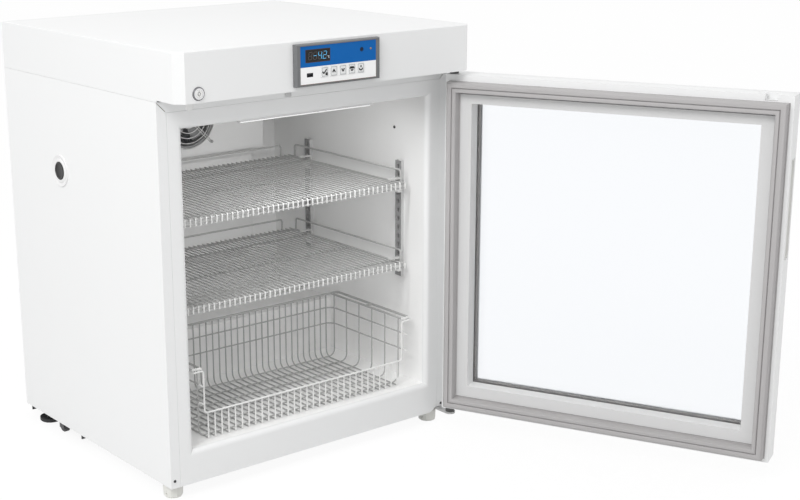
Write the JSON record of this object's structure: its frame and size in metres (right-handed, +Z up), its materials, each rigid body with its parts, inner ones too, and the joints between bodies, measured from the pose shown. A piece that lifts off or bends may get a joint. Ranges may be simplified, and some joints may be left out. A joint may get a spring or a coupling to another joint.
{
  "type": "pharmacy refrigerator",
  "caption": "Under-counter pharmacy refrigerator with a glazed door that stands open, wire shelves, a wire basket, a control panel on its cap and levelling feet.",
  "frame": {"origin": "on the floor under the middle of the cabinet's width, midway between the front and rear of the foot line", "axes": "+Z up, -Y out of the cabinet's front, +X to the right seen from the front, towards the hinge side"},
  "size_m": [0.9409, 1.1922, 0.812],
  "materials": {
    "cabinet_paint": "satin",
    "galvanised": "satin",
    "foam": "matte",
    "liner": "satin",
    "duct_paint": "satin",
    "black_paint": "satin",
    "mount_rubber": "matte",
    "finned_aluminium": "satin",
    "copper_pipe": "satin",
    "black_plastic": "matte",
    "roller_plastic": "matte",
    "pan_plastic": "matte",
    "probe_steel": "satin",
    "grille_chrome": "polished",
    "upright_paint": "satin",
    "clip_plastic": "satin",
    "wire_coating": "satin",
    "light_aluminium": "satin",
    "light_diffuser": "matte",
    "port_plastic": "satin",
    "plug_rubber": "matte",
    "cap_plastic": "satin",
    "bezel_plastic": "matte",
    "label_blue": "satin",
    "display_black": "gloss",
    "board_green": "satin",
    "key_plastic": "satin",
    "socket_steel": "satin",
    "lamp_amber": "gloss",
    "lock_chrome": "polished",
    "lock_steel": "satin",
    "hinge_steel": "satin",
    "screw_steel": "satin",
    "foot_plastic": "matte",
    "door_plastic": "satin",
    "door_inner_plastic": "satin",
    "gasket_rubber": "matte",
    "pane_glass": "gloss",
    "spacer_aluminium": "satin",
    "grip_plastic": "matte",
    "bush_plastic": "matte"
  },
  "bodies": {
    "cabinet": {"outer_shell": "cabinet_paint", "front_frame": "cabinet_paint", "back_panel": "galvanised", "base_panel": "galvanised", "rear_cover": "galvanised", "insulation": "foam", "inner_liner": "liner", "evaporator_cover": "duct_paint", "compressor_tray": "black_paint", "compressor": "black_paint", "compressor_mounts": "mount_rubber", "condenser": "finned_aluminium", "evaporator": "finned_aluminium", "refrigerant_pipes": "copper_pipe", "evaporator_fan_frame": "black_plastic", "power_inlet": "black_plastic", "rear_feet": "black_plastic", "door_sensor": "black_plastic", "drain_pan": "pan_plastic", "temperature_probe": "probe_steel", "fan_grille": "grille_chrome", "uprights": "upright_paint", "shelf_clips": "clip_plastic", "shelf_upper": "wire_coating", "shelf_lower": "wire_coating", "light_bar": "light_aluminium", "light_lens": "light_diffuser", "port_sleeve": "port_plastic", "top_cap": "cap_plastic", "control_bezel": "bezel_plastic", "control_label": "label_blue", "display_window": "display_black", "control_board": "board_green", "usb_socket": "socket_steel", "alarm_lamp": "lamp_amber", "lock_barrel": "lock_chrome", "top_hinge_bracket": "hinge_steel", "bottom_hinge_bracket": "hinge_steel", "shell_screws": "screw_steel"},
    "lock": {"lock_core": "lock_steel"},
    "basket": {"basket": "wire_coating"},
    "port_plug": {"port_plug": "plug_rubber"},
    "evaporator_fan": {"evaporator_fan_wheel": "black_plastic"},
    "condenser_fan": {"condenser_fan_wheel": "black_plastic"},
    "front_foot_left": {"front_foot_left": "foot_plastic"},
    "front_foot_right": {"front_foot_right": "foot_plastic"},
    "roller_left": {"roller_left": "roller_plastic"},
    "roller_right": {"roller_right": "roller_plastic"},
    "door": {"door_outer_frame": "door_plastic", "door_inner_frame": "door_inner_plastic", "door_gasket": "gasket_rubber", "glass_panes": "pane_glass", "glass_spacer": "spacer_aluminium", "door_grip": "grip_plastic", "hinge_bushes": "bush_plastic"},
    "key_set": {"key_set": "key_plastic"},
    "key_up": {"key_up": "key_plastic"},
    "key_down": {"key_down": "key_plastic"},
    "key_mute": {"key_mute": "key_plastic"},
    "key_light": {"key_light": "key_plastic"}
  },
  "joints": [
    {"name": "door_hinge", "type": "hinge", "parent": "cabinet", "child": "door", "pos_m": [0.3132, -0.2932, 0.38], "axis": [0, 0, 1], "range_deg": [-114.74, 10]},
    {"name": "lock_turn", "type": "hinge", "parent": "cabinet", "child": "lock", "pos_m": [-0.285, -0.32, 0.742], "axis": [0, -1, 0], "range_deg": [0, 25]},
    {"name": "basket_slide", "type": "slide", "parent": "cabinet", "child": "basket", "axis": [0, -1, 0], "range_m": [0, 0.12]},
    {"name": "evaporator_fan_spin", "type": "hinge", "parent": "cabinet", "child": "evaporator_fan", "pos_m": [0, 0.176, 0.606], "axis": [0, 1, 0], "continuous": true},
    {"name": "condenser_fan_spin", "type": "hinge", "parent": "cabinet", "child": "condenser_fan", "pos_m": [0.162, 0.175, 0.093], "axis": [0, 1, 0], "continuous": true},
    {"name": "port_plug_pull", "type": "slide", "parent": "cabinet", "child": "port_plug", "axis": [-1, 0, 0], "range_m": [0, 0.05]},
    {"name": "front_foot_left_level", "type": "slide", "parent": "cabinet", "child": "front_foot_left", "axis": [0, 0, -1], "range_m": [0, 0.01]},
    {"name": "roller_left_spin", "type": "hinge", "parent": "cabinet", "child": "roller_left", "pos_m": [-0.31, 0.172, 0.0142], "axis": [1, 0, 0], "continuous": true},
    {"name": "front_foot_right_level", "type": "slide", "parent": "cabinet", "child": "front_foot_right", "axis": [0, 0, -1], "range_m": [0, 0.01]},
    {"name": "roller_right_spin", "type": "hinge", "parent": "cabinet", "child": "roller_right", "pos_m": [0.31, 0.172, 0.0142], "axis": [1, 0, 0], "continuous": true},
    {"name": "key_set_press", "type": "slide", "parent": "cabinet", "child": "key_set", "axis": [0, 1, 0], "range_m": [0, 0.0008], "stiffness_N_per_m": 1500, "springref_m": -0.0002},
    {"name": "key_up_press", "type": "slide", "parent": "cabinet", "child": "key_up", "axis": [0, 1, 0], "range_m": [0, 0.0008], "stiffness_N_per_m": 1500, "springref_m": -0.0002},
    {"name": "key_down_press", "type": "slide", "parent": "cabinet", "child": "key_down", "axis": [0, 1, 0], "range_m": [0, 0.0008], "stiffness_N_per_m": 1500, "springref_m": -0.0002},
    {"name": "key_mute_press", "type": "slide", "parent": "cabinet", "child": "key_mute", "axis": [0, 1, 0], "range_m": [0, 0.0008], "stiffness_N_per_m": 1500, "springref_m": -0.0002},
    {"name": "key_light_press", "type": "slide", "parent": "cabinet", "child": "key_light", "axis": [0, 1, 0], "range_m": [0, 0.0008], "stiffness_N_per_m": 1500, "springref_m": -0.0002}
  ]
}
